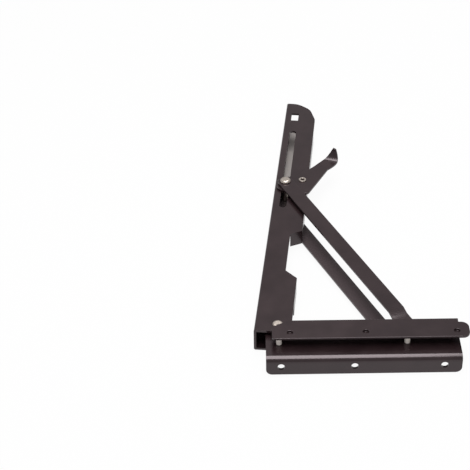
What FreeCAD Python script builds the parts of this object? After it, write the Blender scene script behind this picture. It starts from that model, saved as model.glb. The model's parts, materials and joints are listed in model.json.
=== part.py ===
"""Folding bracket for a drop leaf: two pressed-steel arms hinged at a corner, held by a double brace
whose pin runs in a slot of the long arm, with a release lever on that pin. The bracket lies on its side,
pivot axes along Z, and the origin is on the long arm's mounting face level with the hinge."""
import FreeCAD, Part
import os
import re
import Sketcher

# Driving sizes in millimetres and degrees. Heights called rise are counted from the resting edge.
SIZES = {
    "gauge": 2.0, "bend_radius": 1.6, "corner_radius": 5.0, "play": 0.3, "running_gap": 0.05,
    "arm_height": 21.0, "arm_width": 30.0, "arm_reach": 341.0, "near_overhang": 9.0,
    "hinge_x": 18.7, "open_angle": 84.0,
    "nose_flat": 11.0, "nose_mid": 24.0, "nose_mid_drop": 9.5, "nose_drop": 28.0, "nose_radius": 16.0,
    "slot_x": 9.7, "slot_width": 6.5, "slot_start": 161.0, "slot_setback": 51.0,
    "key_width": 7.0, "key_length": 13.0, "key_setback": 25.0,
    "base_flange_width": 16.0, "base_flange_setback": 11.0,
    "notch_depth": 10.3, "notch_start": 60.3, "notch_inner_start": 69.8,
    "notch_inner_stop": 121.5, "notch_stop": 127.0, "notch_wall_height": 12.0,
    "inner_flange_height": 12.0, "far_flange_setback": 52.0,
    "near_flange_start": 28.0, "near_flange_stop": 56.0,
    "screw_radius": 2.9, "screw_rise": 8.0,
    "long_screw_first": 16.0, "long_screw_setback": 19.0,
    "plate_rise": 14.0, "plate_back": 10.0, "plate_reach": 146.0, "plate_outer": 37.0, "plate_inner": 6.5,
    "short_screw_near": 2.0, "short_screw_mid": 60.5, "short_screw_setback": 14.0,
    "flange_bend_radius": 3.0,
    "bar_back": 5.0, "bar_slant": 14.5, "bar_corner": 7.0, "bar_overhang": 7.3, "bar_outer": 23.0,
    "bar_inset": 1.0, "bar_end_radius": 6.0, "tab_length": 7.8, "tab_step": 4.2,
    "dimple_radius": 2.5, "dimple_depth": 1.2, "dimple_out": 16.0,
    "dimple_near": 9.4, "dimple_mid": 70.0, "dimple_setback": 10.3,
    "stud_radius": 2.3, "stud_near": 0.6, "stud_far": 103.4, "stud_out": 18.0,
    "hinge_radius": 4.0, "hinge_head_radius": 4.8, "hinge_head_height": 2.2, "washer_radius": 7.5,
    "pivot_along": 104.0, "pivot_out": 4.0, "pivot_drift": 8.4, "pivot_sway": 1.8, "pivot_sway_shift": 0.4,
    "link_width": 14.0, "joggle_start": 17.0, "joggle_stop": 11.0,
    "lower_link_set": 9.3, "lower_link_lead": 26.0, "lower_link_rise": 4.2,
    "link_pin_radius": 3.0, "sleeve_radius": 5.0, "tail_height": 1.4, "tail_radius": 4.6,
    "pin_y": 196.0, "pin_head_radius": 4.8, "pin_head_height": 2.2,
    "lever_boss": 8.0, "eyelet_reach": 15.3, "eyelet_up": 6.5, "eyelet_radius": 3.4, "eyelet_hole": 1.8,
    "eyelet_height": 1.0,
    "lever_heel_out": 22.0, "lever_heel_drop": 14.0, "lever_shoulder_out": 21.0, "lever_shoulder_up": 26.0,
    "lever_throat_up": 12.8, "thumb_base_out": 38.0, "thumb_base_up": 27.0,
    "thumb_tip_out": 46.0, "thumb_tip_up": 48.0, "thumb_height": 10.0, "thumb_radius": 4.5,
}

LONG_SCREWS = 4
TOUCH = 1e-4

# Places that follow from the sizes, as expressions.
TILT = "(90-open_angle)"
PIVOT_X = f"(hinge_x+pivot_along*cos({TILT})+pivot_out*sin({TILT}))"
PIVOT_Y = f"(pivot_along*sin({TILT})-pivot_out*cos({TILT}))"
LINK_LENGTH = f"sqrt(({PIVOT_X}-slot_x)^2+({PIVOT_Y}-pin_y)^2)"
LINK_ANGLE = f"atan2({PIVOT_Y}-pin_y; {PIVOT_X}-slot_x)"
WEB_RISE = "(arm_height-gauge)"
UPPER_LINK_RISE = "(arm_height+play)"
COVER_RISE = "(arm_height+play+gauge+play)"

doc = FreeCAD.newDocument("drop_leaf_bracket")
sheet = doc.addObject("Spreadsheet::Sheet", "sizes")
for row, (alias, number) in enumerate(SIZES.items(), start=1):
    sheet.set(f"A{row}", alias)
    sheet.set(f"B{row}", str(number))
    sheet.setAlias(f"B{row}", alias)
doc.recompute()


def bound(text):
    """Write the sheet's name before each size in an expression."""
    def named(found):
        word = found.group()
        return "sizes." + word if word in SIZES else word
    return re.sub(r"[a-z_]+", named, text)


def new_body(label, x="0", y="0", rise="0", angle="0"):
    """A body whose own z = 0 lies at a rise above the resting edge, turned about Z."""
    body = doc.addObject("PartDesign::Body", label)
    body.Label = label
    body.Placement = FreeCAD.Placement(FreeCAD.Vector(), FreeCAD.Rotation(FreeCAD.Vector(0, 0, 1), 1))
    body.setExpression("Placement.Base.x", bound(x))
    body.setExpression("Placement.Base.y", bound(y))
    body.setExpression("Placement.Base.z", bound(f"({rise})-arm_height/2"))
    body.setExpression("Placement.Rotation.Angle", bound(angle))
    return body


def new_sketch(body, plane, offset="0"):
    """A sketch on one of the body's own planes, moved along that plane's normal."""
    sketch = body.newObject("Sketcher::SketchObject", body.Label + "_sketch")
    origin_plane = next(item for item in body.Origin.OriginFeatures if item.Role == plane)
    sketch.AttachmentSupport = [(origin_plane, "")]
    sketch.MapMode = "FlatFace"
    sketch.setExpression("AttachmentOffset.Base.z", bound(offset))
    return sketch


def fix(sketch, kind, geometry, point, start, expression):
    """Tie one coordinate of a point to an expression."""
    index = sketch.addConstraint(Sketcher.Constraint(kind, -1, 1, geometry, point, start))
    sketch.setExpression(f"Constraints[{index}]", bound(expression))


def outline(body, points, plane="XY_Plane", offset="0"):
    """A closed sketch of straight runs through points given as pairs of expressions."""
    sketch = new_sketch(body, plane, offset)
    count = len(points)
    ring = FreeCAD.Vector(1, 0, 0)
    turn = FreeCAD.Rotation(FreeCAD.Vector(0, 0, 1), 360.0 / count)
    corners = [ring]
    for _ in range(count - 1):
        corners.append(turn.multVec(corners[-1]))
    for index in range(count):
        sketch.addGeometry(Part.LineSegment(corners[index], corners[(index + 1) % count]))
    for index in range(count):
        sketch.addConstraint(Sketcher.Constraint("Coincident", index, 2, (index + 1) % count, 1))
    for index, (across, along) in enumerate(points):
        fix(sketch, "DistanceX", index, 1, corners[index].x, across)
        fix(sketch, "DistanceY", index, 1, corners[index].y, along)
    return sketch


def box_outline(body, left, right, low, high, plane="XY_Plane", offset="0"):
    return outline(body, [(left, low), (right, low), (right, high), (left, high)], plane, offset)


def circles(body, places, radius, plane="XY_Plane", offset="0"):
    sketch = new_sketch(body, plane, offset)
    for index, (across, along) in enumerate(places):
        start = FreeCAD.Vector(10 * index + 1, 1, 0)
        sketch.addGeometry(Part.Circle(start, FreeCAD.Vector(0, 0, 1), 1))
        fix(sketch, "DistanceX", index, 3, start.x, across)
        fix(sketch, "DistanceY", index, 3, start.y, along)
        size = sketch.addConstraint(Sketcher.Constraint("Radius", index, 1.0))
        sketch.setExpression(f"Constraints[{size}]", bound(radius))
    return sketch


def pad(body, sketch, length, down=False, both_ways=False):
    feature = body.newObject("PartDesign::Pad", body.Label + "_pad")
    feature.Profile = sketch
    feature.Reversed = down
    feature.Midplane = both_ways
    feature.setExpression("Length", bound(length))


def cut(body, sketch, depth=None):
    """Cut a sketch to a depth, or right through both ways, and make sure that it removed something."""
    doc.recompute()
    before = body.Shape.Volume
    feature = body.newObject("PartDesign::Pocket", body.Label + "_cut")
    feature.Profile = sketch
    if depth:
        feature.setExpression("Length", bound(depth))
    else:
        feature.Type = "ThroughAll"
        feature.Midplane = True
    doc.recompute()
    if not body.Shape.Volume < before:
        raise RuntimeError(body.Label + ": a cut removed nothing")


def round_edges(body, radius, chosen):
    """Fillet the edges for which chosen(edge, its middle in the body's own frame) holds."""
    doc.recompute()
    base = body.Tip
    names = []
    for index, edge in enumerate(base.Shape.Edges, start=1):
        middle = edge.valueAt((edge.FirstParameter + edge.LastParameter) / 2)
        if chosen(edge, middle):
            names.append(f"Edge{index}")
    if not names:
        raise RuntimeError(body.Label + ": no edge to round")
    feature = body.newObject("PartDesign::Fillet", body.Label + "_round")
    feature.Base = (base, names)
    feature.setExpression("Radius", bound(radius))
    doc.recompute()


def near(value, other):
    return abs(value - other) < TOUCH


def upright(edge):
    """True for a straight edge along Z."""
    if edge.Curve.TypeId != "Part::GeomLine":
        return False
    return near(abs(edge.Curve.Direction.z), 1.0)


def turned(label, profile, **place):
    """A piece turned about its own Z axis from (radius, height) pairs."""
    body = new_body(label, **place)
    sketch = outline(body, profile, "XZ_Plane")
    feature = body.newObject("PartDesign::Revolution", label + "_turn")
    feature.Profile = sketch
    feature.ReferenceAxis = (sketch, ["V_Axis"])
    feature.Angle = 360
    doc.recompute()
    return body


def dome(radius, top):
    """Choose the rim of a turned head whose top lies at a height in the body's own frame."""
    def is_rim(edge, middle):
        return edge.Curve.TypeId == "Part::GeomCircle" and near(middle.z, top) and edge.Curve.Radius > radius
    return is_rim


def long_arm():
    """Pressed channel: web, mounting flange outside, base flange at its foot, cut-away flange inside."""
    body = new_body("long_arm", rise=WEB_RISE)
    inner = "arm_width-notch_depth"
    pad(body, outline(body, [
        ("0", "-near_overhang"), ("arm_width", "-near_overhang"), ("arm_width", "notch_start"),
        (inner, "notch_inner_start"), (inner, "notch_inner_stop"), ("arm_width", "notch_stop"),
        ("arm_width", "arm_reach-nose_drop"), ("nose_mid", "arm_reach-nose_mid_drop"),
        ("nose_flat", "arm_reach"), ("0", "arm_reach")]), "gauge")
    pad(body, box_outline(body, "0", "gauge", "-near_overhang", "arm_reach"), "arm_height-gauge", down=True)
    edge = "arm_width-gauge"
    pad(body, box_outline(body, edge, "arm_width", "notch_stop", "arm_reach-far_flange_setback"),
        "inner_flange_height", down=True)
    pad(body, box_outline(body, edge, "arm_width", "near_flange_start", "near_flange_stop"),
        "inner_flange_height", down=True)
    pad(body, outline(body, [
        (inner, "notch_inner_stop"), ("arm_width", "notch_stop"), ("arm_width", "notch_stop+gauge"),
        (inner, "notch_inner_stop+gauge")]), "notch_wall_height", down=True)
    pad(body, box_outline(body, "0", "base_flange_width", "-near_overhang", "arm_reach-base_flange_setback",
                          offset="gauge-arm_height"), "gauge")
    slot_ends = ("slot_start+slot_width/2", "arm_reach-slot_setback-slot_width/2")
    slot_sides = ("slot_x-slot_width/2", "slot_x+slot_width/2")
    cut(body, box_outline(body, *slot_sides, *slot_ends, offset="gauge"), "gauge")
    cut(body, circles(body, [("slot_x", end) for end in slot_ends], "slot_width/2", offset="gauge"), "gauge")
    key_ends = ("arm_reach-key_setback-key_length/2", "arm_reach-key_setback+key_length/2")
    key_sides = ("slot_x-key_width/2", "slot_x+key_width/2")
    cut(body, box_outline(body, *key_sides, *key_ends, offset="gauge"), "gauge")
    cut(body, circles(body, [("hinge_x", "0")], "hinge_radius", offset="gauge"), "gauge")
    rise = "screw_rise-arm_height+gauge"
    span = "(arm_reach-long_screw_setback-long_screw_first)"
    stations = [f"long_screw_first+{span}*{step}/{LONG_SCREWS - 1}" for step in range(LONG_SCREWS)]
    cut(body, circles(body, [(station, rise) for station in stations], "screw_radius", "YZ_Plane"))
    gauge, width = SIZES["gauge"], SIZES["arm_width"]
    nose = ((width, SIZES["arm_reach"] - SIZES["nose_drop"]),
            (SIZES["nose_mid"], SIZES["arm_reach"] - SIZES["nose_mid_drop"]),
            (SIZES["nose_flat"], SIZES["arm_reach"]))
    round_edges(body, "nose_radius", lambda edge, middle: upright(edge) and any(
        near(middle.x, across) and near(middle.y, along) for across, along in nose))
    low = -SIZES["near_overhang"]
    round_edges(body, "corner_radius", lambda edge, middle: upright(edge) and (
        near(middle.x, width) and near(middle.y, low)))
    foot = gauge - SIZES["arm_height"]
    round_edges(body, "bend_radius", lambda edge, middle: near(middle.x, 0) and (
        near(middle.z, gauge) or near(middle.z, foot)))


def short_arm():
    """Pressed angle: flat plate beside the hinge and a mounting flange turned down along its outer side."""
    body = new_body("short_arm", x="hinge_x", rise="plate_rise", angle=TILT)
    pad(body, box_outline(body, "-plate_back", "plate_reach", "-plate_outer", "plate_inner"), "gauge")
    pad(body, box_outline(body, "-plate_back", "plate_reach", "-plate_outer", "gauge-plate_outer"),
        "plate_rise", down=True)
    cut(body, circles(body, [("0", "0")], "hinge_radius+running_gap"))
    half = "(link_pin_radius+pivot_sway/2+play)"
    middle_line = "-(pivot_out+pivot_sway_shift)"
    cut(body, box_outline(body, "pivot_along-pivot_drift", "pivot_along",
                          f"{middle_line}-{half}", f"{middle_line}+{half}"))
    cut(body, circles(body, [("pivot_along-pivot_drift", middle_line)], half))
    cut(body, circles(body, [("pivot_along", middle_line)], half))
    stations = ["short_screw_near", "short_screw_mid", "plate_reach-short_screw_setback"]
    rise = "screw_rise-plate_rise"
    cut(body, circles(body, [(station, rise) for station in stations], "screw_radius", "XZ_Plane"))
    gauge, outer = SIZES["gauge"], -SIZES["plate_outer"]
    bottom = -SIZES["plate_rise"]
    ends = (-SIZES["plate_back"], SIZES["plate_reach"])
    round_edges(body, "corner_radius", lambda edge, middle: near(middle.z, bottom) and any(
        near(middle.x, end) for end in ends))
    inner = SIZES["plate_inner"]
    round_edges(body, "corner_radius", lambda edge, middle: upright(edge) and near(middle.y, inner))
    round_edges(body, "flange_bend_radius+gauge", lambda edge, middle: (
        near(middle.y, outer) and near(middle.z, gauge)))
    round_edges(body, "flange_bend_radius", lambda edge, middle: (
        near(middle.y, outer + gauge) and near(middle.z, 0)))


def cover_bar():
    """Flat bar over the plate: corner cut at the hinge, narrower rounded tab, pressed dimples."""
    body = new_body("cover_bar", x="hinge_x", rise=COVER_RISE, angle=TILT)
    end = "(plate_reach+bar_overhang)"
    pad(body, outline(body, [
        ("-bar_back", "-bar_outer"), (end, "-bar_outer"), (end, "-bar_inset-tab_step"),
        (f"{end}-tab_length", "-bar_inset-tab_step"), (f"{end}-tab_length", "-bar_inset"),
        ("bar_slant-bar_back", "-bar_inset"), ("-bar_back", "-bar_inset-bar_corner")]), "gauge")
    for station in ("dimple_near", "dimple_mid", f"{end}-dimple_setback"):
        cut(body, circles(body, [(station, "-dimple_out")], "dimple_radius", offset="gauge"), "dimple_depth")
    reach, back = SIZES["plate_reach"] + SIZES["bar_overhang"], -SIZES["bar_back"]
    round_edges(body, "bar_end_radius", lambda edge, middle: upright(edge) and near(middle.x, reach))
    round_edges(body, "corner_radius/2", lambda edge, middle: upright(edge) and near(middle.x, back))


def studs():
    """Two plain studs that carry the bar on the plate."""
    for label, station in (("hinge_stud", "stud_near"), ("link_stud", "stud_far")):
        body = new_body(label, x="hinge_x", rise="plate_rise+gauge", angle=TILT)
        pad(body, circles(body, [(station, "-stud_out")], "stud_radius"), f"{COVER_RISE}-plate_rise-gauge")


def hinge():
    """Domed rivet fixed in the web, with a washer between the web and the turning plate."""
    under = "(plate_rise-play-hinge_head_height)"
    head = "hinge_head_radius"
    body = turned("hinge_rivet", [
        ("0", "0"), (head, "0"), (head, "hinge_head_height"), ("hinge_radius", "hinge_head_height"),
        ("hinge_radius", f"arm_height-{under}"), (head, f"arm_height-{under}"),
        (head, f"arm_height-{under}+hinge_head_height"), ("0", f"arm_height-{under}+hinge_head_height")],
        x="hinge_x", rise=under)
    top = SIZES["arm_height"] - (SIZES["plate_rise"] - SIZES["play"]) + 2 * SIZES["hinge_head_height"]
    round_edges(body, "hinge_head_height-play", dome(SIZES["hinge_radius"], top))
    floor = "(plate_rise+gauge+play)"
    turned("hinge_washer", [
        ("hinge_radius", "0"), ("washer_radius", "0"), ("washer_radius", f"{WEB_RISE}-{floor}"),
        ("hinge_radius", f"{WEB_RISE}-{floor}")], x="hinge_x", rise=floor)


def pin_holes(body):
    """A running hole on the slide pin and a tight one on the link rivet."""
    cut(body, circles(body, [("0", "0")], "link_pin_radius+running_gap"))
    cut(body, circles(body, [(LINK_LENGTH, "0")], "link_pin_radius"))


def upper_link():
    """Strap over the lever, joggled down just before it passes under the cover bar."""
    body = new_body("upper_link", x="slot_x", y="pin_y", rise=UPPER_LINK_RISE, angle=LINK_ANGLE)
    step = "(gauge+play)"
    high, low = f"({LINK_LENGTH}-joggle_start)", f"({LINK_LENGTH}-joggle_stop)"
    pad(body, outline(body, [
        ("0", step), (high, step), (low, "0"), (LINK_LENGTH, "0"), (LINK_LENGTH, "gauge"), (low, "gauge"),
        (high, f"{step}+gauge"), ("0", f"{step}+gauge")], "XZ_Plane"), "link_width", both_ways=True)
    pad(body, circles(body, [("0", "0")], "link_width/2", offset=step), "gauge")
    pad(body, circles(body, [(LINK_LENGTH, "0")], "link_width/2"), "gauge")
    pin_holes(body)


def lower_link():
    """Strap under the plate, set to the hinge side between its two eyes."""
    body = new_body("lower_link", x="slot_x", y="pin_y", rise="lower_link_rise", angle=LINK_ANGLE)
    half = "link_width/2"
    back = f"({LINK_LENGTH}-lower_link_lead)"
    pad(body, outline(body, [
        ("0", f"-{half}"), ("lower_link_lead", f"-{half}-lower_link_set"), (back, f"-{half}-lower_link_set"),
        (LINK_LENGTH, f"-{half}"), (LINK_LENGTH, half), (back, f"{half}-lower_link_set"),
        ("lower_link_lead", f"{half}-lower_link_set"), ("0", half)]), "gauge")
    for end in ("0", LINK_LENGTH):
        pad(body, circles(body, [(end, "0")], half), "gauge")
    pin_holes(body)


def link_pivot():
    """Rivet through both links with a sleeve above and below the short arm's plate."""
    place = {"x": PIVOT_X, "y": PIVOT_Y}
    tail = "(lower_link_rise-tail_height)"
    turned("link_rivet", [
        ("0", "0"), ("tail_radius", "0"), ("tail_radius", "tail_height"), ("link_pin_radius", "tail_height"),
        ("link_pin_radius", f"{UPPER_LINK_RISE}+gauge-{tail}"), ("0", f"{UPPER_LINK_RISE}+gauge-{tail}")],
        rise=tail, **place)
    spans = (("lower_sleeve", "(lower_link_rise+gauge)", "(plate_rise-play)"),
             ("upper_sleeve", "(plate_rise+gauge+play)", UPPER_LINK_RISE))
    for label, start, stop in spans:
        turned(label, [("link_pin_radius", "0"), ("sleeve_radius", "0"), ("sleeve_radius", f"{stop}-{start}"),
                       ("link_pin_radius", f"{stop}-{start}")], rise=start, **place)


def slide_pin():
    """Headed pin that runs in the slot, and the bush that spaces the lower link from the web."""
    tail = "(lower_link_rise-play-tail_height)"
    neck = f"({COVER_RISE}+gauge+play-{tail})"
    head = "pin_head_radius"
    body = turned("slide_pin", [
        ("0", "0"), ("tail_radius", "0"), ("tail_radius", "tail_height"), ("link_pin_radius", "tail_height"),
        ("link_pin_radius", neck), (head, neck), (head, f"{neck}+pin_head_height"),
        ("0", f"{neck}+pin_head_height")],
        x="slot_x", y="pin_y", rise=tail)
    tail_rise = SIZES["lower_link_rise"] - SIZES["play"] - SIZES["tail_height"]
    top = SIZES["arm_height"] + 3 * SIZES["play"] + 2 * SIZES["gauge"] + SIZES["pin_head_height"] - tail_rise
    round_edges(body, "pin_head_height-play", dome(SIZES["link_pin_radius"], top))
    start, stop = "(lower_link_rise+gauge+play)", f"({WEB_RISE}-play)"
    turned("pin_bush", [
        ("link_pin_radius", "0"), ("sleeve_radius", "0"), ("sleeve_radius", f"{stop}-{start}"),
        ("link_pin_radius", f"{stop}-{start}")], x="slot_x", y="pin_y", rise=start)


def release_lever():
    """Flat lever between web and upper link, with an eyelet beside the pin and an upturned thumb tab."""
    body = new_body("release_lever", x="slot_x", y="pin_y", rise=UPPER_LINK_RISE)
    tab = [("thumb_base_out", "thumb_base_up"), ("thumb_tip_out", "thumb_tip_up")]
    tab_inside = [("thumb_tip_out-gauge", "thumb_tip_up"), ("thumb_base_out-gauge", "thumb_base_up")]
    pad(body, outline(body, [
        ("-lever_boss", "-lever_boss"), ("lever_boss", "-lever_boss*2"),
        ("lever_heel_out", "-lever_heel_drop"),
        *tab, ("thumb_tip_out-3*gauge", "thumb_tip_up+gauge"), ("lever_shoulder_out", "lever_shoulder_up"),
        ("lever_boss", "lever_throat_up"), ("-lever_boss", "lever_boss")]), "gauge")
    pad(body, outline(body, tab + tab_inside), "gauge+thumb_height")
    cut(body, circles(body, [("0", "0")], "link_pin_radius+running_gap"))
    cut(body, circles(body, [("eyelet_reach", "eyelet_up")], "eyelet_radius-eyelet_hole/2"))
    boss, heel = SIZES["lever_boss"], -SIZES["lever_heel_drop"]
    round_edges(body, "lever_boss-running_gap", lambda edge, middle: upright(edge) and near(middle.x, -boss))
    round_edges(body, "corner_radius", lambda edge, middle: upright(edge) and near(middle.y, heel))
    top, base, tip = SIZES["gauge"] + SIZES["thumb_height"], SIZES["thumb_base_up"], SIZES["thumb_tip_up"]
    round_edges(body, "thumb_radius", lambda edge, middle: near(middle.z, top) and (
        near(middle.y, base) or near(middle.y, tip)))
    outer = "eyelet_radius"
    neck = "eyelet_radius-eyelet_hole/2"
    turned("lever_eyelet", [
        ("eyelet_hole", "0"), (neck, "0"), (neck, "gauge"), (outer, "gauge"), (outer, "gauge+eyelet_height"),
        ("eyelet_hole", "gauge+eyelet_height")], x="slot_x+eyelet_reach", y="pin_y+eyelet_up",
        rise=UPPER_LINK_RISE)


def check_document():
    """Stop if any object of the document failed."""
    doc.recompute()
    for item in doc.Objects:
        if "Invalid" in item.State or "Error" in item.State:
            raise RuntimeError(item.Name + " failed")


def write_parts():
    bodies = [item for item in doc.Objects if item.TypeId == "PartDesign::Body"]
    for body in bodies:
        if body.Shape.isNull() or not body.Shape.isValid() or len(body.Shape.Solids) != 1:
            raise RuntimeError(body.Label + " is not one valid solid")
    os.makedirs("parts", exist_ok=True)
    for body in bodies:
        body.Shape.exportStep(f"parts/{body.Label}.step")


long_arm()
short_arm()
cover_bar()
studs()
hinge()
upper_link()
lower_link()
link_pivot()
slide_pin()
release_lever()
check_document()
write_parts()
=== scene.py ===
"""Looks of a folding drop leaf bracket: black-brown paint on pressed steel, dull zinc on the rivets."""
import json
import math

import bpy
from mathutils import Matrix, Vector

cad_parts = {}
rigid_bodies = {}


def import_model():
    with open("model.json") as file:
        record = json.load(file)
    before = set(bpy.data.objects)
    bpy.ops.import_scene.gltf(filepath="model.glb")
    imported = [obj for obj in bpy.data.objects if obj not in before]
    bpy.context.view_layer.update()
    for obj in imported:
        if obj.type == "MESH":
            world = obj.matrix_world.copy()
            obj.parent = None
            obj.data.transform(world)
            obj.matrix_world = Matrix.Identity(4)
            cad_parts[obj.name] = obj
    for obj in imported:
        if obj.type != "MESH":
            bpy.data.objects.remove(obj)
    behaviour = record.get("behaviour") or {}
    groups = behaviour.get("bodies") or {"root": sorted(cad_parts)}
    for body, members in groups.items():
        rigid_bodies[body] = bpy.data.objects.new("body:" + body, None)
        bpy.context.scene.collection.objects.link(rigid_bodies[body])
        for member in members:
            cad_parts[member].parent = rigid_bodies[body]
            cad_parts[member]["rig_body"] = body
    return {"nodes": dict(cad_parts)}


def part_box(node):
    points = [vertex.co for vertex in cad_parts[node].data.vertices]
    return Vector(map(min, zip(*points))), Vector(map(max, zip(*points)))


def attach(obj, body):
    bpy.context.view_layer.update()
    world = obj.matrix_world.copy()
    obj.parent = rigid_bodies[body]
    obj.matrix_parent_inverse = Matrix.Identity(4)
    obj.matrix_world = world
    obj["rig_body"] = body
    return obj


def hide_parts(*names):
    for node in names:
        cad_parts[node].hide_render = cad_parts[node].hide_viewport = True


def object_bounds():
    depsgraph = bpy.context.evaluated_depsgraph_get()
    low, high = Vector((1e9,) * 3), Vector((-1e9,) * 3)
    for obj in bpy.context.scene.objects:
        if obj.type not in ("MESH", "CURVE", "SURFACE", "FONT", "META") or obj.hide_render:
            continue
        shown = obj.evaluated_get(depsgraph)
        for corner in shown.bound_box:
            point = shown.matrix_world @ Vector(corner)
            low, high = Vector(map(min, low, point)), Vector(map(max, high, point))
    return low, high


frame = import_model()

bl_info = {
    "name": "Drop Leaf Bracket",
    "version": (1, 0, 0),
    "blender": (4, 5, 0),
    "location": "View3D > Sidebar > Bracket",
    "description": "Dresses the packed folding bracket in paint and plating and sets its stage",
    "category": "Object",
}

CAD_BOX = [list(corner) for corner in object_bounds()]
MM = 0.001

# Camera: the photograph's side in pixels, the sensor in millimetres, the near clip in metres.
PHOTO_SIZE = 470
SENSOR_WIDTH = 36.0
CLIP_START = 0.01

# Shapes: TOLERANCE tells levels apart, FACES_UP is the least Z of a normal that counts as upward.
SHEET = 2.0 * MM
TOLERANCE = 0.01 * MM
WELD = 0.002 * MM
FACES_UP = 0.9
DISSOLVE_ANGLE = math.radians(0.5)
BEVEL_ANGLE = math.radians(40)
SMOOTH_ANGLE = math.radians(35)
PAINT_SEGMENTS = 3
METAL_SEGMENTS = 2
METAL_ROUND = 0.2 * MM
TAB_BANDS = 24
DIMPLE_EXTRA = 0.6 * MM

# Film: GRIT_RATIO is the grit's scale against the peel's, MOTTLE_RANGE the noise that spans both colours.
MOTTLE_DETAIL = 5.0
MOTTLE_RANGE = (0.35, 0.75)
NOISE_MEAN = 0.5
PEEL_DETAIL = 2.0
GRIT_RATIO = 1.7
PEEL_DEPTH = 0.1 * MM
PLAIN_GLOSS = 0.5
WHITE = (1.0, 1.0, 1.0)
FLOOR_GREY = (0.60, 0.60, 0.60)

ARM_NODES = ("long_arm", "short_arm", "cover_bar")
RIVET_NODES = ("hinge_rivet", "link_rivet", "slide_pin", "lever_eyelet")
SPACER_NODES = ("hinge_washer", "lower_sleeve", "upper_sleeve", "pin_bush")
STUD_NODES = ("hinge_stud", "link_stud")


class PaintSettings(bpy.types.PropertyGroup):
    """Paint on the pressed steel."""
    colour: bpy.props.FloatVectorProperty(
        name="Colour", description="Base colour of the paint", subtype="COLOR", size=3,
        min=0.0, max=1.0, default=(0.0126, 0.0068, 0.0077))
    worn: bpy.props.FloatVectorProperty(
        name="Mottling", description="Colour that the paint is faintly mottled with", subtype="COLOR",
        size=3, min=0.0, max=1.0, default=(0.0207, 0.0119, 0.0130))
    roughness: bpy.props.FloatProperty(
        name="Roughness", description="Mean roughness of the film", min=0.0, max=1.0, default=0.21)
    gloss: bpy.props.FloatProperty(
        name="Gloss", description="Specular level of the film", min=0.0, max=1.0, default=0.6)
    sheen_tint: bpy.props.FloatVectorProperty(
        name="Gloss tint", description="Warm cast of what the film mirrors", subtype="COLOR", size=3,
        min=0.0, max=1.0, default=(1.0, 0.88, 0.91))
    peel: bpy.props.FloatProperty(
        name="Peel height", description="Strength of the film's fine orange peel",
        min=0.0, max=1.0, default=0.05)
    edge_round: bpy.props.FloatProperty(
        name="Edge round", description="Radius that the paint leaves on a cut edge", subtype="DISTANCE",
        unit="LENGTH", default=0.32 * MM)
    # Painted light: the lower strap takes the same paint made paler, standing in for the reflection that the
    # upper strap keeps off it.
    painted_light_strap: bpy.props.FloatVectorProperty(
        name="Lower strap", description="Base colour of the lower strap, which reads paler", subtype="COLOR",
        size=3, min=0.0, max=1.0, default=(0.050, 0.039, 0.041))


class TabSettings(bpy.types.PropertyGroup):
    """Thumb tab: the lever's end, turned up in a soft curve."""
    root: bpy.props.FloatVectorProperty(
        name="Root", description="Place on the lever where its end begins", subtype="TRANSLATION",
        unit="LENGTH", size=2, default=(47.7 * MM, 223.0 * MM))
    heading: bpy.props.FloatProperty(
        name="Heading", description="Direction in which the tab climbs, from the X axis", subtype="ANGLE",
        unit="ROTATION", default=math.radians(77.0))
    flat_run: bpy.props.FloatProperty(
        name="Flat run", description="Length from the root that stays flat", subtype="DISTANCE",
        unit="LENGTH", default=13.5 * MM)
    curl_run: bpy.props.FloatProperty(
        name="Curl run", description="Length that the curl takes up", subtype="DISTANCE",
        unit="LENGTH", default=7.0 * MM)
    curl_angle: bpy.props.FloatProperty(
        name="Curl angle", description="How far round the curl goes", subtype="ANGLE",
        unit="ROTATION", default=math.radians(80.0))
    bulge: bpy.props.FloatProperty(
        name="Bulge", description="How far the tab's outer edge swells at mid length", subtype="DISTANCE",
        unit="LENGTH", default=3.5 * MM)
    tip_narrowing: bpy.props.FloatProperty(
        name="Tip narrowing", description="How round the tip is", min=0.0, max=1.0, default=0.85)


class PlatingSettings(bpy.types.PropertyGroup):
    """Plating, pale metal and the studs' painted glint: rivets, spacers, studs and the pale strip along the
    pin's track.
    """
    colour: bpy.props.FloatVectorProperty(
        name="Colour", description="Base colour of the plating", subtype="COLOR", size=3,
        min=0.0, max=1.0, default=(0.64, 0.57, 0.51))
    stain: bpy.props.FloatVectorProperty(
        name="Stain", description="Colour of the dull patches", subtype="COLOR", size=3,
        min=0.0, max=1.0, default=(0.38, 0.33, 0.29))
    roughness: bpy.props.FloatProperty(
        name="Roughness", description="Mean roughness of the plating", min=0.0, max=1.0, default=0.34)
    # Colour of a pale metal strip along the pin's track on the base flange's upper face, lighter than the
    # paint around it.
    pale_track_metal: bpy.props.FloatVectorProperty(
        name="Bare steel", description="Colour of the track that the pin rubs bare", subtype="COLOR",
        size=3, min=0.0, max=1.0, default=(0.54, 0.50, 0.48))
    # Painted glint: the studs take a near-white, non-metal colour that stands in for their bright
    # reflections.
    stud: bpy.props.FloatVectorProperty(
        name="Stud", description="Colour of the bright studs", subtype="COLOR",
        size=3, min=0.0, max=1.0, default=(0.93, 0.86, 0.80))
    head_flatness: bpy.props.FloatProperty(
        name="Hinge head flatness", description="Height of the hammered hinge head against its blank",
        min=0.1, max=1.0, default=0.45)
    head_shrink: bpy.props.FloatProperty(
        name="Hinge head width", description="Width of the hammered hinge head against its blank",
        min=0.1, max=1.0, default=0.88)


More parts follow.
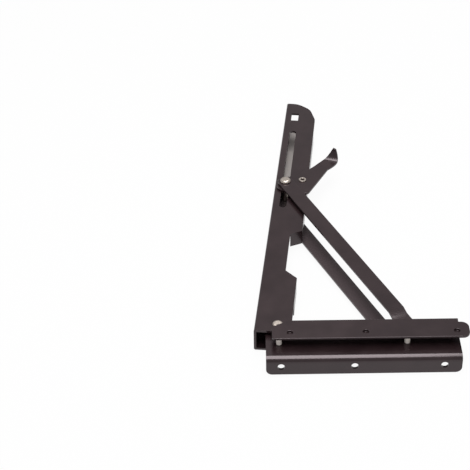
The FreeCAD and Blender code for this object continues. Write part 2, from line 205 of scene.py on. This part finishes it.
class StageSettings(bpy.types.PropertyGroup):
    """Camera, floor and light."""
    focal_pixels: bpy.props.FloatProperty(
        name="Focal length", description="Focal length in pixels of the photograph's frame", default=1300.0)
    centre_column: bpy.props.FloatProperty(
        name="Centre column", description="Column of the photograph that the lens looks at", default=276.2)
    pitch: bpy.props.FloatProperty(
        name="Pitch", description="How far the camera looks down", subtype="ANGLE", unit="ROTATION",
        default=math.radians(37.07))
    yaw: bpy.props.FloatProperty(
        name="Yaw", description="How far the camera turns to the left", subtype="ANGLE", unit="ROTATION",
        default=math.radians(4.81))
    place: bpy.props.FloatVectorProperty(
        name="Place", description="Where the camera stands", subtype="TRANSLATION", unit="LENGTH", size=3,
        default=(84.2 * MM, -792.8 * MM, 701.7 * MM))
    floor_size: bpy.props.FloatProperty(
        name="Floor size", description="Side of the pale floor", subtype="DISTANCE", unit="LENGTH",
        default=6.0)
    floor_glow: bpy.props.FloatProperty(
        name="Floor glow", description="Share of plain white in what is seen of the floor",
        min=0.0, max=1.0, default=0.95)
    room_light: bpy.props.FloatProperty(
        name="Room light", description="Strength of the even light around the part", min=0.0, default=0.48)
    lamp_place: bpy.props.FloatVectorProperty(
        name="Lamp place", description="Where the overhead softbox hangs", subtype="TRANSLATION",
        unit="LENGTH", size=3, default=(0.05, 0.1, 1.2))
    lamp_size: bpy.props.FloatVectorProperty(
        name="Lamp size", description="Width and depth of the softbox", subtype="XYZ", unit="LENGTH", size=2,
        default=(0.65, 1.5))
    lamp_power: bpy.props.FloatProperty(
        name="Lamp power", description="Power of the softbox", unit="POWER", min=0.0, default=20.5)


def settings():
    return bpy.context.scene.bracket


def deselect_all():
    if bpy.context.object and bpy.context.object.mode != "OBJECT":
        bpy.ops.object.mode_set(mode="OBJECT")
    bpy.ops.object.select_all(action="DESELECT")


def film_group():
    """Fine peel, faint mottling and uneven dullness of a film, shared by paint and plating."""
    name = "sprayed_film"
    if name in bpy.data.node_groups:
        return bpy.data.node_groups[name]
    group = bpy.data.node_groups.new(name, "ShaderNodeTree")
    for socket in ("Main Colour", "Second Colour"):
        group.interface.new_socket(name=socket, in_out="INPUT", socket_type="NodeSocketColor")
    for socket in ("Roughness", "Roughness Spread", "Mottle Scale", "Peel Scale"):
        group.interface.new_socket(name=socket, in_out="INPUT", socket_type="NodeSocketFloat")
    group.interface.new_socket(name="Colour", in_out="OUTPUT", socket_type="NodeSocketColor")
    for socket in ("Dullness", "Height"):
        group.interface.new_socket(name=socket, in_out="OUTPUT", socket_type="NodeSocketFloat")
    nodes, links = group.nodes, group.links
    start = nodes.new("NodeGroupInput")
    end = nodes.new("NodeGroupOutput")
    place = nodes.new("ShaderNodeTexCoord")
    mottle = nodes.new("ShaderNodeTexNoise")
    mottle.inputs["Detail"].default_value = MOTTLE_DETAIL
    peel = nodes.new("ShaderNodeTexNoise")
    peel.inputs["Detail"].default_value = PEEL_DETAIL
    grit = nodes.new("ShaderNodeTexVoronoi")
    grit_scale = nodes.new("ShaderNodeMath")
    grit_scale.operation = "MULTIPLY"
    grit_scale.inputs[1].default_value = GRIT_RATIO
    blend = nodes.new("ShaderNodeMix")
    blend.data_type = "RGBA"
    contrast = nodes.new("ShaderNodeMapRange")
    contrast.inputs["From Min"].default_value = MOTTLE_RANGE[0]
    contrast.inputs["From Max"].default_value = MOTTLE_RANGE[1]
    spread = nodes.new("ShaderNodeMath")
    spread.operation = "MULTIPLY_ADD"
    centred = nodes.new("ShaderNodeMath")
    centred.operation = "SUBTRACT"
    centred.inputs[1].default_value = NOISE_MEAN
    height = nodes.new("ShaderNodeMath")
    height.operation = "ADD"
    for texture in (mottle, peel, grit):
        links.new(place.outputs["Object"], texture.inputs["Vector"])
    links.new(start.outputs["Mottle Scale"], mottle.inputs["Scale"])
    links.new(start.outputs["Peel Scale"], peel.inputs["Scale"])
    links.new(start.outputs["Peel Scale"], grit_scale.inputs[0])
    links.new(grit_scale.outputs[0], grit.inputs["Scale"])
    links.new(mottle.outputs["Fac"], contrast.inputs["Value"])
    links.new(contrast.outputs["Result"], blend.inputs["Factor"])
    links.new(start.outputs["Main Colour"], blend.inputs["A"])
    links.new(start.outputs["Second Colour"], blend.inputs["B"])
    links.new(mottle.outputs["Fac"], centred.inputs[0])
    links.new(centred.outputs[0], spread.inputs[0])
    links.new(start.outputs["Roughness Spread"], spread.inputs[1])
    links.new(start.outputs["Roughness"], spread.inputs[2])
    links.new(peel.outputs["Fac"], height.inputs[0])
    links.new(grit.outputs["Distance"], height.inputs[1])
    links.new(blend.outputs["Result"], end.inputs["Colour"])
    links.new(spread.outputs[0], end.inputs["Dullness"])
    links.new(height.outputs[0], end.inputs["Height"])
    return group


def film_material(name, main, second, roughness, spread, mottle_scale, peel_scale, peel, metallic,
                  gloss=PLAIN_GLOSS, gloss_tint=WHITE):
    """Material with the film's grain, made once and found by its name after that."""
    if name in bpy.data.materials:
        return bpy.data.materials[name]
    material = bpy.data.materials.new(name)
    material.use_nodes = True
    nodes, links = material.node_tree.nodes, material.node_tree.links
    shader = next(node for node in nodes if node.type == "BSDF_PRINCIPLED")
    shader.inputs["Metallic"].default_value = metallic
    shader.inputs["Specular IOR Level"].default_value = gloss
    shader.inputs["Specular Tint"].default_value = (*gloss_tint, 1.0)
    film = nodes.new("ShaderNodeGroup")
    film.node_tree = film_group()
    film.inputs["Main Colour"].default_value = (*main, 1.0)
    film.inputs["Second Colour"].default_value = (*second, 1.0)
    film.inputs["Roughness"].default_value = roughness
    film.inputs["Roughness Spread"].default_value = spread
    film.inputs["Mottle Scale"].default_value = mottle_scale
    film.inputs["Peel Scale"].default_value = peel_scale
    bump = nodes.new("ShaderNodeBump")
    bump.inputs["Strength"].default_value = peel
    bump.inputs["Distance"].default_value = PEEL_DEPTH
    links.new(film.outputs["Colour"], shader.inputs["Base Color"])
    links.new(film.outputs["Dullness"], shader.inputs["Roughness"])
    links.new(film.outputs["Height"], bump.inputs["Height"])
    links.new(bump.outputs["Normal"], shader.inputs["Normal"])
    return material


def paint_material(name, main, second):
    paint = settings().paint
    return film_material(name, main, second, paint.roughness, spread=0.10, mottle_scale=45.0,
                         peel_scale=1500.0, peel=paint.peel, metallic=0.0,
                         gloss=paint.gloss, gloss_tint=paint.sheen_tint)


def black_brown_paint():
    paint = settings().paint
    return paint_material("black_brown_paint", paint.colour, paint.worn)


# Painted light: the same film as the other paint in a paler colour, standing in for the reflection that the
# upper strap blocks on the lower strap.
def painted_light_strap_paint():
    paint = settings().paint
    return paint_material("painted_light_strap_paint", paint.painted_light_strap, paint.painted_light_strap)


def dull_zinc():
    plating = settings().plating
    return film_material("dull_zinc", plating.colour, plating.stain, plating.roughness, spread=0.3,
                         mottle_scale=420.0, peel_scale=2600.0, peel=0.06, metallic=1.0)


def pale_track_metal():
    steel = settings().plating.pale_track_metal
    return film_material("pale_track_metal", steel, steel, roughness=0.48, spread=0.1,
                         mottle_scale=300.0, peel_scale=2600.0, peel=0.02, metallic=0.8)


# Painted glint: near-white, non-metal colour standing in for the studs' bright reflections.
def painted_glint_stud():
    stud = settings().plating.stud
    return film_material("painted_glint_stud", stud, stud, roughness=0.35, spread=0.2,
                         mottle_scale=300.0, peel_scale=2600.0, peel=0.05, metallic=0.0)


def select_where(piece, kind, wanted):
    """In edit mode, select the vertices or faces that pass the test, and nothing else."""
    bpy.ops.mesh.select_mode(type=kind)
    bpy.ops.mesh.select_all(action="DESELECT")
    bpy.ops.object.mode_set(mode="OBJECT")
    for item in piece.data.vertices if kind == "VERT" else piece.data.polygons:
        item.select = wanted(item)
    bpy.ops.object.mode_set(mode="EDIT")


def curled(place, root, forward, along, face_height, rise):
    """Where a point of the lever's end, a share along it, lies once the end is curled up."""
    tab = settings().tab
    # The first half of the end runs flat, and the second half curls.
    flat = min(2.0 * along, 1.0)
    curl = max(0.0, 2.0 * along - 1.0)
    outward = Vector((forward.y, -forward.x, 0.0))
    across = (place - root).dot(outward)
    if across > 0.0:
        across += tab.bulge * math.sin(math.pi * along)
    across *= math.sqrt(1.0 - tab.tip_narrowing * curl ** 2)
    turn = tab.curl_angle * curl
    climb = rise / (1.0 - math.cos(tab.curl_angle))
    slope = math.atan2(climb * math.sin(turn), tab.curl_run * math.cos(turn))
    depth = face_height - place.z
    ahead = tab.flat_run * flat + tab.curl_run * math.sin(turn) + depth * math.sin(slope)
    height = face_height + climb * (1.0 - math.cos(turn)) - depth * math.cos(slope)
    return Vector((root.x, root.y, height)) + forward * ahead + outward * across


def reshape_lever(piece):
    """Raise the lever's flat again from its underside and turn its end up softly, as high as the tab."""
    tab = settings().tab
    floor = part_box("release_lever")[0].z
    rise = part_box("release_lever")[1].z - floor - SHEET
    select_where(piece, "FACE", lambda face: abs(face.center.z - floor) < TOLERANCE)
    bpy.ops.mesh.select_all(action="INVERT")
    bpy.ops.mesh.delete(type="FACE")
    bpy.ops.mesh.select_all(action="SELECT")
    bpy.ops.mesh.extrude_region_move(TRANSFORM_OT_translate={"value": (0.0, 0.0, SHEET)})
    bpy.ops.mesh.select_all(action="SELECT")
    bpy.ops.mesh.normals_make_consistent(inside=False)
    bpy.ops.object.mode_set(mode="OBJECT")
    forward = Vector((math.cos(tab.heading), math.sin(tab.heading), 0.0))
    root = Vector((*tab.root, 0.0))
    length = max((vertex.co - root).dot(forward) for vertex in piece.data.vertices)
    bpy.ops.object.mode_set(mode="EDIT")
    for band in range(TAB_BANDS):
        bpy.ops.mesh.select_all(action="SELECT")
        bpy.ops.mesh.bisect(plane_co=root + forward * length * band / TAB_BANDS, plane_no=forward)
    bpy.ops.object.mode_set(mode="OBJECT")
    for vertex in piece.data.vertices:
        along = min((vertex.co - root).dot(forward) / length, 1.0)
        if along > 0.0:
            vertex.co = curled(vertex.co, root, forward, along, floor + SHEET, rise)
    bpy.ops.object.mode_set(mode="EDIT")


def deepen_dimples(piece):
    """Press the dimples of the cover bar deeper, so that they read dark."""
    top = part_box("cover_bar")[1].z

    def in_dimple(face):
        return face.normal.z > FACES_UP and TOLERANCE < top - face.center.z < SHEET - TOLERANCE

    select_where(piece, "FACE", in_dimple)
    bpy.ops.transform.translate(value=(0.0, 0.0, -DIMPLE_EXTRA))


def flatten_hinge_head(piece):
    """Flatten and draw in the head above the web, as hammering leaves it."""
    low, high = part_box("hinge_rivet")
    web_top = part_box("long_arm")[1].z
    plating = settings().plating
    select_where(piece, "VERT", lambda vertex: vertex.co.z > web_top - TOLERANCE)
    middle = (low + high) / 2
    bpy.ops.transform.resize(value=(plating.head_shrink, plating.head_shrink, plating.head_flatness),
                             center_override=(middle.x, middle.y, web_top))


def mark_pin_track(piece):
    """Part the base flange's upper face along the track of the pin's tail and give the track the pale metal.
    """
    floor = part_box("long_arm")[0].z + SHEET
    low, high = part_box("slide_pin")
    piece.data.materials.append(pale_track_metal())

    def on_floor(face):
        return face.normal.z > FACES_UP and abs(face.center.z - floor) < TOLERANCE

    def on_track(face):
        return on_floor(face) and low.x < face.center.x < high.x and face.center.y > low.y

    cuts = (
        ((low.x, 0, 0), (1, 0, 0)),
        ((high.x, 0, 0), (1, 0, 0)),
        ((0, low.y, 0), (0, 1, 0)),
    )
    for place, normal in cuts:
        select_where(piece, "FACE", on_floor)
        bpy.ops.mesh.bisect(plane_co=place, plane_no=normal)
    bpy.ops.object.mode_set(mode="OBJECT")
    for face in piece.data.polygons:
        face.material_index = int(on_track(face))
    bpy.ops.object.mode_set(mode="EDIT")


SHAPING = {
    "release_lever": reshape_lever,
    "hinge_rivet": flatten_hinge_head,
    "long_arm": mark_pin_track,
    "cover_bar": deepen_dimples,
}


def soften(node_name, material, edge_round, segments):
    """Copy a node, round its cut edges as paint or tumbling leaves them, and let the copy stand for it."""
    node = frame["nodes"][node_name]
    deselect_all()
    node.select_set(True)
    bpy.context.view_layer.objects.active = node
    bpy.ops.object.duplicate()
    piece = bpy.context.view_layer.objects.active
    piece.name = node_name + "_finished"
    for key in [key for key in piece.keys() if key.startswith("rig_")]:
        del piece[key]
    piece.parent = None
    body = node["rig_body"]
    bpy.ops.object.mode_set(mode="EDIT")
    bpy.ops.mesh.select_all(action="SELECT")
    bpy.ops.mesh.remove_doubles(threshold=WELD)
    bpy.ops.mesh.dissolve_limited(angle_limit=DISSOLVE_ANGLE)
    piece.data.materials.clear()
    piece.data.materials.append(material)
    if node_name in SHAPING:
        SHAPING[node_name](piece)
    bpy.ops.object.mode_set(mode="OBJECT")
    bevel = piece.modifiers.new("edge_round", "BEVEL")
    bevel.width = edge_round
    bevel.segments = segments
    bevel.limit_method = "ANGLE"
    bevel.angle_limit = BEVEL_ANGLE
    bpy.ops.object.modifier_apply(modifier=bevel.name)
    bpy.ops.object.shade_smooth_by_angle(angle=SMOOTH_ANGLE)
    flat = piece.modifiers.new("flat_faces", "WEIGHTED_NORMAL")
    flat.keep_sharp = True
    bpy.ops.object.modifier_apply(modifier=flat.name)
    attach(piece, body)
    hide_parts(node_name)


def paint_node(node_name, material):
    soften(node_name, material, settings().paint.edge_round, PAINT_SEGMENTS)


def plate_node(node_name, material):
    soften(node_name, material, METAL_ROUND, METAL_SEGMENTS)


class BRACKET_OT_arms(bpy.types.Operator):
    """Paint the two pressed arms and the cover bar."""
    bl_idname = "bracket.arms"
    bl_label = "Arms and Cover Bar"

    def execute(self, context):
        for name in ARM_NODES:
            paint_node(name, black_brown_paint())
        return {"FINISHED"}


class BRACKET_OT_links(bpy.types.Operator):
    """Paint the two straps of the brace."""
    bl_idname = "bracket.links"
    bl_label = "Brace Straps"

    def execute(self, context):
        paint_node("upper_link", black_brown_paint())
        # Painted light: the lower strap's paler paint stands in for reflection blocked by the upper strap.
        paint_node("lower_link", painted_light_strap_paint())
        return {"FINISHED"}


class BRACKET_OT_lever(bpy.types.Operator):
    """Paint the release lever."""
    bl_idname = "bracket.lever"
    bl_label = "Release Lever"

    def execute(self, context):
        paint_node("release_lever", black_brown_paint())
        return {"FINISHED"}


class BRACKET_OT_rivets(bpy.types.Operator):
    """Plate the rivets and spacers and give the studs a near-white colour as painted glint."""
    bl_idname = "bracket.rivets"
    bl_label = "Rivets and Spacers"

    def execute(self, context):
        for name in RIVET_NODES + SPACER_NODES:
            plate_node(name, dull_zinc())
        # Painted glint: the studs' near-white colour stands in for their reflections.
        for name in STUD_NODES:
            plate_node(name, painted_glint_stud())
        return {"FINISHED"}


def floor_material():
    """Pale floor that the camera and reflections see as white, keeping a faint shadow."""
    material = bpy.data.materials.new("pale_floor")
    material.use_nodes = True
    nodes, links = material.node_tree.nodes, material.node_tree.links
    nodes.clear()
    output = nodes.new("ShaderNodeOutputMaterial")
    matt = nodes.new("ShaderNodeBsdfDiffuse")
    matt.inputs["Color"].default_value = (*FLOOR_GREY, 1.0)
    glow = nodes.new("ShaderNodeEmission")
    mix = nodes.new("ShaderNodeMixShader")
    path = nodes.new("ShaderNodeLightPath")
    seen = nodes.new("ShaderNodeMath")
    seen.operation = "MAXIMUM"
    through = nodes.new("ShaderNodeMath")
    through.operation = "MAXIMUM"
    share = nodes.new("ShaderNodeMath")
    share.operation = "MULTIPLY"
    share.inputs[1].default_value = settings().stage.floor_glow
    links.new(path.outputs["Is Camera Ray"], seen.inputs[0])
    links.new(path.outputs["Is Glossy Ray"], seen.inputs[1])
    links.new(seen.outputs[0], through.inputs[0])
    links.new(path.outputs["Is Transmission Ray"], through.inputs[1])
    links.new(through.outputs[0], share.inputs[0])
    links.new(share.outputs[0], mix.inputs["Fac"])
    links.new(matt.outputs[0], mix.inputs[1])
    links.new(glow.outputs[0], mix.inputs[2])
    links.new(mix.outputs[0], output.inputs["Surface"])
    return material


def add_floor(place):
    bpy.ops.mesh.primitive_plane_add(size=settings().stage.floor_size, location=place)
    floor = bpy.context.object
    floor.name = "pale_floor"
    bpy.ops.object.transform_apply(location=True, rotation=True, scale=True)
    floor.data.materials.append(floor_material())


def add_room_light():
    world = bpy.data.worlds.new("soft_room")
    world.use_nodes = True
    background = world.node_tree.nodes["Background"]
    background.inputs["Color"].default_value = (*WHITE, 1.0)
    background.inputs["Strength"].default_value = settings().stage.room_light
    bpy.context.scene.world = world


def add_softbox(target):
    stage = settings().stage
    place = Vector(stage.lamp_place)
    bpy.ops.object.light_add(type="AREA", location=place)
    lamp = bpy.context.object
    lamp.name = "overhead_softbox"
    lamp.data.shape = "RECTANGLE"
    lamp.data.size, lamp.data.size_y = stage.lamp_size
    lamp.data.energy = stage.lamp_power
    lamp.rotation_euler = (target - place).to_track_quat("-Z", "Y").to_euler()


def add_camera():
    stage = settings().stage
    bpy.ops.object.camera_add(location=stage.place, rotation=(math.pi / 2 - stage.pitch, 0.0, stage.yaw))
    camera = bpy.context.object
    camera.data.sensor_width = SENSOR_WIDTH
    camera.data.lens = stage.focal_pixels * SENSOR_WIDTH / PHOTO_SIZE
    camera.data.shift_x = (PHOTO_SIZE / 2 - stage.centre_column) / PHOTO_SIZE
    camera.data.clip_start = CLIP_START
    bpy.context.scene.camera = camera


class BRACKET_OT_stage(bpy.types.Operator):
    """Add the floor, light and camera."""
    bl_idname = "bracket.stage"
    bl_label = "Stage"

    def execute(self, context):
        deselect_all()
        low = Vector(CAD_BOX[0])
        high = Vector(CAD_BOX[1])
        middle = (low + high) / 2
        add_floor((middle.x, middle.y, low.z))
        add_room_light()
        add_softbox(Vector((settings().stage.lamp_place[0], middle.y, 0.0)))
        add_camera()
        context.scene.view_settings.view_transform = "Standard"
        return {"FINISHED"}


class BRACKET_PT_panel(bpy.types.Panel):
    """Steps that dress the bracket, in order."""
    bl_idname = "BRACKET_PT_panel"
    bl_label = "Drop Leaf Bracket"
    bl_space_type = "VIEW_3D"
    bl_region_type = "UI"
    bl_category = "Bracket"

    def draw(self, context):
        for step in STEPS:
            self.layout.operator(step.bl_idname)


class BracketSettings(bpy.types.PropertyGroup):
    """All that a user would change."""
    paint: bpy.props.PointerProperty(name="Paint", description="Paint on the steel", type=PaintSettings)
    tab: bpy.props.PointerProperty(name="Thumb tab", description="Tab at the lever's end", type=TabSettings)
    plating: bpy.props.PointerProperty(name="Plating", description="Zinc on the rivets", type=PlatingSettings)
    stage: bpy.props.PointerProperty(name="Stage", description="Camera, floor and light", type=StageSettings)


STEPS = (BRACKET_OT_arms, BRACKET_OT_links, BRACKET_OT_lever, BRACKET_OT_rivets, BRACKET_OT_stage)
GROUPS = (PaintSettings, TabSettings, PlatingSettings, StageSettings, BracketSettings)
CLASSES = GROUPS + STEPS + (BRACKET_PT_panel,)


def register():
    for item in CLASSES:
        bpy.utils.register_class(item)
    bpy.types.Scene.bracket = bpy.props.PointerProperty(type=BracketSettings)


def unregister():
    del bpy.types.Scene.bracket
    for item in reversed(CLASSES):
        bpy.utils.unregister_class(item)


def main():
    register()
    bpy.ops.bracket.arms()
    bpy.ops.bracket.links()
    bpy.ops.bracket.lever()
    bpy.ops.bracket.rivets()
    bpy.ops.bracket.stage()
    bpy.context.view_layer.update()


if __name__ == "__main__":
    main()
